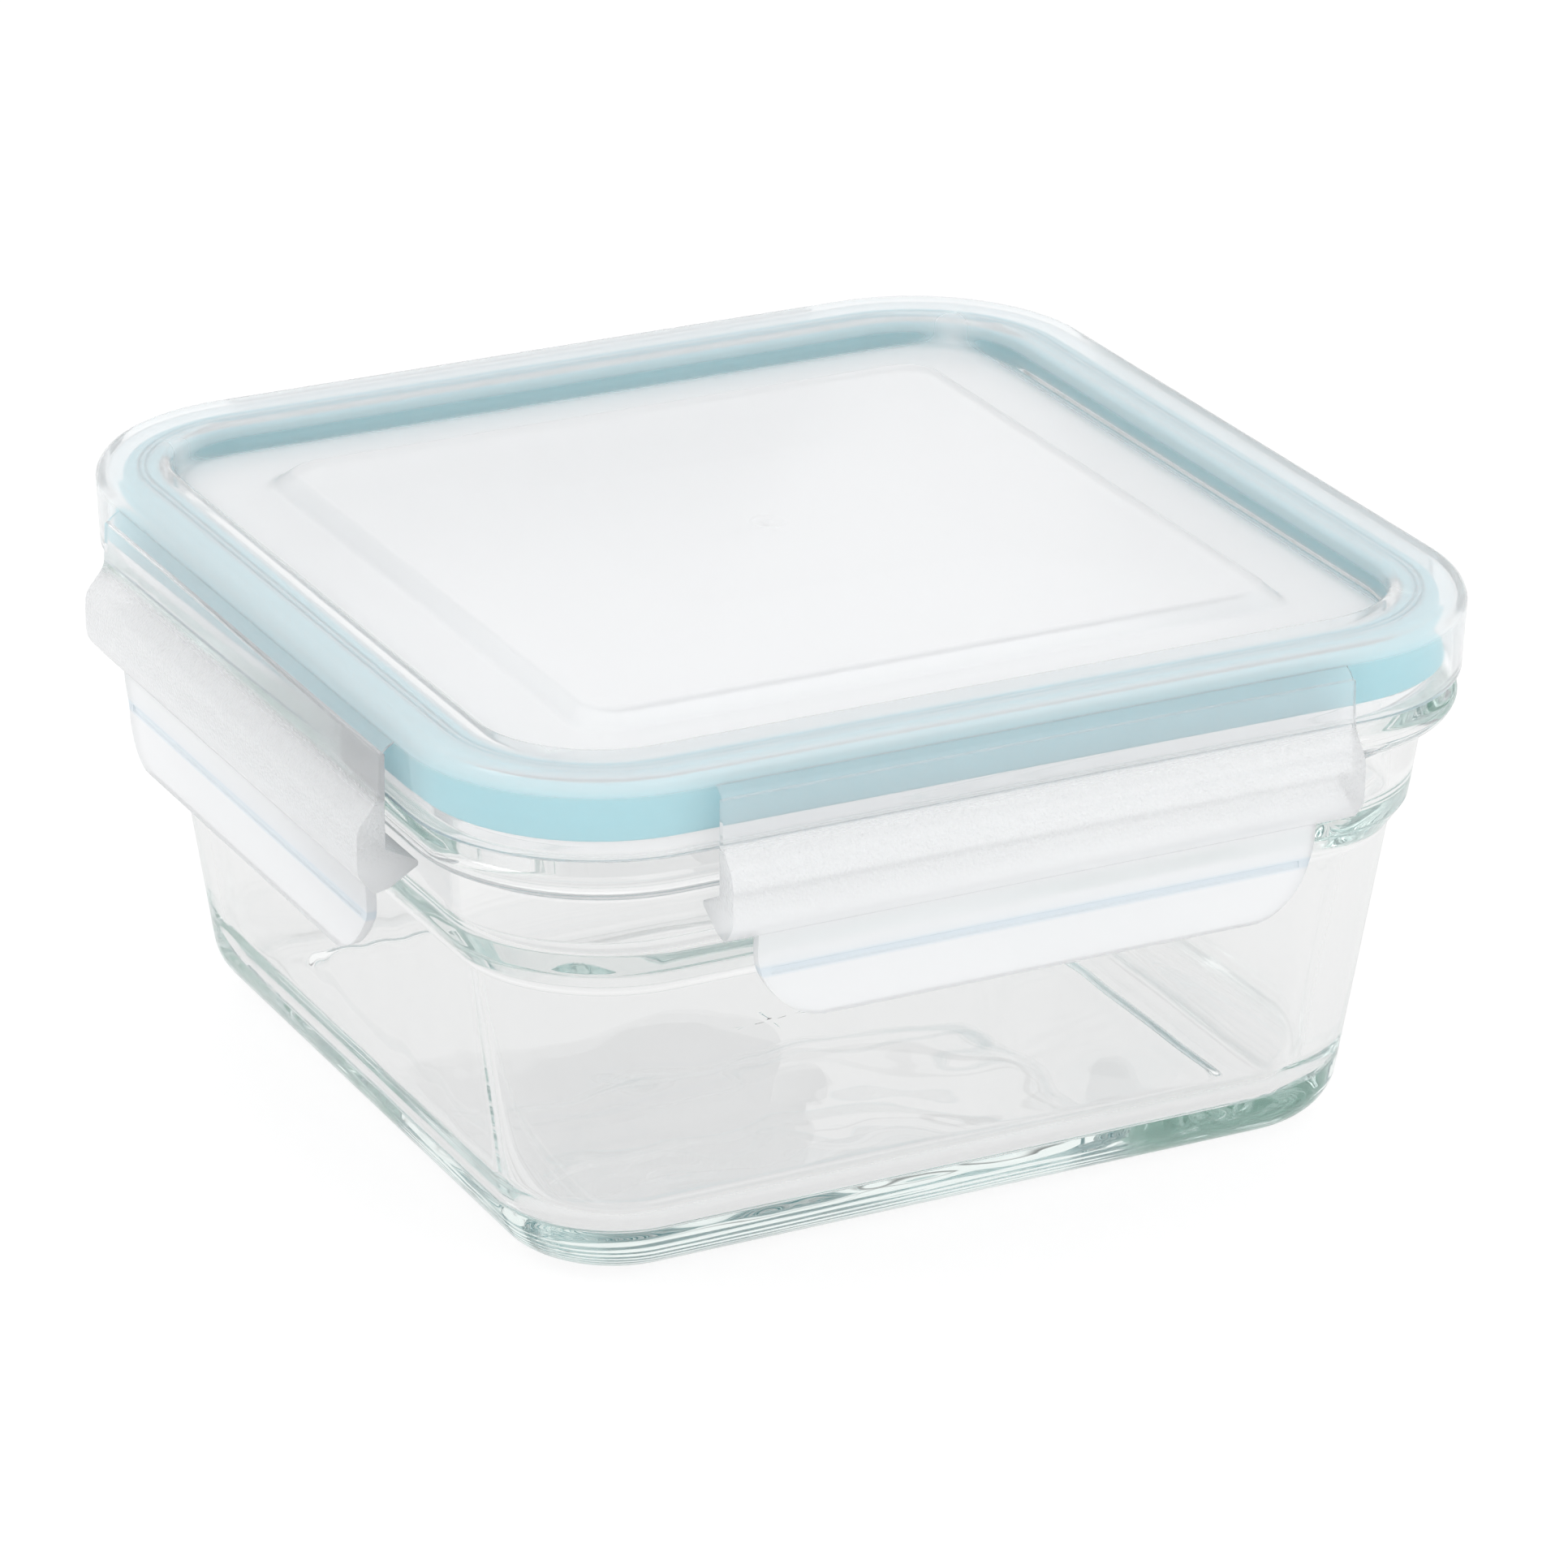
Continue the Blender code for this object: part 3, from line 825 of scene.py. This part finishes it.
def wing_section():
    """Closed outline of the wide part of a wing, with its snap lip."""
    return rounded([
        (WING_INNER_TOP, WING_TOP, 0.0001),
        (WING_INNER_TOP + WING_PLATE, WING_TOP, 0.0003),
        (WAIST_U, WAIST_Z, 0.0030),
        (BULGE_OUT, BULGE_HIGH, BULGE_RADIUS),
        (BULGE_OUT, BULGE_LOW, BULGE_RADIUS),
        (WING_BOTTOM_U, WING_BOTTOM, 0.0010),
        (LIP_ROOT_U, WING_BOTTOM + 0.0005, 0.0006),
        (LIP_TIP, LIP_TIP_Z - 0.0003, 0.0003),
        (LIP_TIP, LIP_TIP_Z + 0.0003, 0.0003),
        (WING_INNER_LOW, LIP_ROOT_Z, 0.0004),
        (WING_INNER_LOW, WAIST_Z - 0.0010, 0),
    ], True, UNDIVIDED)


def tab_section():
    """Closed outline of the finger tab, bent slightly outward below its crease."""
    return rounded([
        (TAB_TOP_U - TAB_PLATE, WING_BOTTOM + TAB_ROOT, 0),
        (TAB_TOP_U, WING_BOTTOM + TAB_ROOT, 0),
        (TAB_BEND_U, TAB_BEND_Z, 0.0060),
        (TAB_END_U, TAB_BOTTOM, 0.0002),
        (TAB_END_U - TAB_PLATE, TAB_BOTTOM, 0.0002),
        (TAB_BEND_U - TAB_PLATE, TAB_BEND_Z, 0.0060),
    ], True, UNDIVIDED)


def tab_face():
    """Front outline of the tab: square above, rounded corners below."""
    top = WING_BOTTOM + TAB_TOOL_RISE
    return rounded([
        (-TAB_HALF, top, 0),
        (TAB_HALF, top, 0),
        (TAB_HALF, TAB_BOTTOM - 0.0001, TAB_CORNER),
        (-TAB_HALF, TAB_BOTTOM - 0.0001, TAB_CORNER),
    ], True, UNDIVIDED)


def groove_section():
    """Outline of the shallow groove along the tab's crease."""
    out = TAB_BEND_U + 0.0010
    half = GROOVE_WIDTH / 2
    return rounded([
        (TAB_BEND_U - GROOVE_DEPTH, TAB_BEND_Z - half * 0.5, 0.0002),
        (out, TAB_BEND_Z - half * 1.5, 0),
        (out, TAB_BEND_Z + half * 1.5, 0),
        (TAB_BEND_U - GROOVE_DEPTH, TAB_BEND_Z + half * 0.5, 0.0002),
    ], True, UNDIVIDED)


def wing_mesh(material):
    """The front wing with softened edges, in the row's frame."""
    tab = temporary(prism(tab_section(), TAB_HALF))
    combine(tab, temporary(slab(tab_face())), "INTERSECT")
    wing = temporary(prism(wing_section(), WING_HALF))
    combine(wing, tab, "UNION")
    combine(wing, temporary(prism(groove_section(), GROOVE_HALF)), "DIFFERENCE")
    bevel = wing.modifiers.new("edges", "BEVEL")
    bevel.width = EDGE_WIDTH
    bevel.segments = EDGE_SEGMENTS
    bevel.limit_method = "ANGLE"
    bevel.angle_limit = SHARP_ANGLE
    mesh = applied(wing)
    bpy.data.objects.remove(wing, do_unlink=True)
    mesh.shade_smooth()
    mesh.set_sharp_from_angle(angle=SHARP_ANGLE)
    mesh.materials.clear()
    mesh.materials.append(material)
    return mesh


def quarter_turn(index, size):
    """Rotation matrix from the front side to another side."""
    return Matrix.Rotation(index * math.pi / 2, size, "Z")


def build_wings(material):
    """One wing per side, the same mesh turned about the centre."""
    pattern = wing_mesh(material)
    for i, side in enumerate(SIDES):
        mesh = pattern.copy()
        mesh.transform(quarter_turn(i, 4))
        wing = bpy.data.objects.new("wing_" + side, mesh)
        bpy.context.scene.collection.objects.link(wing)
        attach(wing, "wing_" + side)
        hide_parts("latch_" + side)


def web_section():
    """Closed outline of a hinge web: a thin strip, bowed outward, with its ends in the plastic."""
    run_u, run_z = WEB_WING_U - WEB_SKIRT_U, WEB_WING_Z - WEB_SKIRT_Z
    length = math.hypot(run_u, run_z)
    across = (-run_z / length, run_u / length)
    middle = (WEB_SKIRT_U + run_u / 2, WEB_SKIRT_Z + run_z / 2)
    spine = [(WEB_SKIRT_U, WEB_SKIRT_Z), middle, (WEB_WING_U, WEB_WING_Z)]
    sides = []
    for side in (1, -1):
        row = []
        for (u, z), bow, radius in zip(spine, (0, WEB_BOW, 0), (0, WEB_BOW_RADIUS, 0)):
            shift = side * WEB_THICKNESS / 2 + bow
            row.append((u + across[0] * shift, z + across[1] * shift, radius))
        sides += row[::side]
    return rounded(sides, True, WEB_STEP)


def build_films(material):
    """Living hinge of each wing: a thin bowed web from the skirt to the wing's top edge."""
    outline = web_section()
    for i, side in enumerate(SIDES):
        bm = prism(outline, WING_HALF - WEB_INSET)
        bmesh.ops.rotate(bm, verts=bm.verts, matrix=quarter_turn(i, 3))
        stands_for = ["hinge_film_" + side]
        film = add_piece("film_" + side, bm, material, None, stands_for)
        film.data.set_sharp_from_angle(angle=SHARP_ANGLE)
        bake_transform(film)


def main():
    make_camera()
    make_world()
    make_floor()
    for lamp in LAMPS:
        area_lamp(*lamp)
    build_bowl()
    build_lid(lid_material())
    build_seal()
    build_wings(wing_material())
    build_films(film_material())
    scene = bpy.context.scene
    scene.view_settings.view_transform = "Standard"
    scene.cycles.sample_clamp_indirect = FIREFLY_LIMIT
    scene.cycles.max_bounces = LIGHT_BOUNCES
    scene.cycles.transmission_bounces = LIGHT_BOUNCES
    scene.cycles.glossy_bounces = LIGHT_BOUNCES
    scene.cycles.diffuse_bounces = DIFFUSE_BOUNCES
    scene.cycles.transparent_max_bounces = TRANSPARENT_BOUNCES


main()
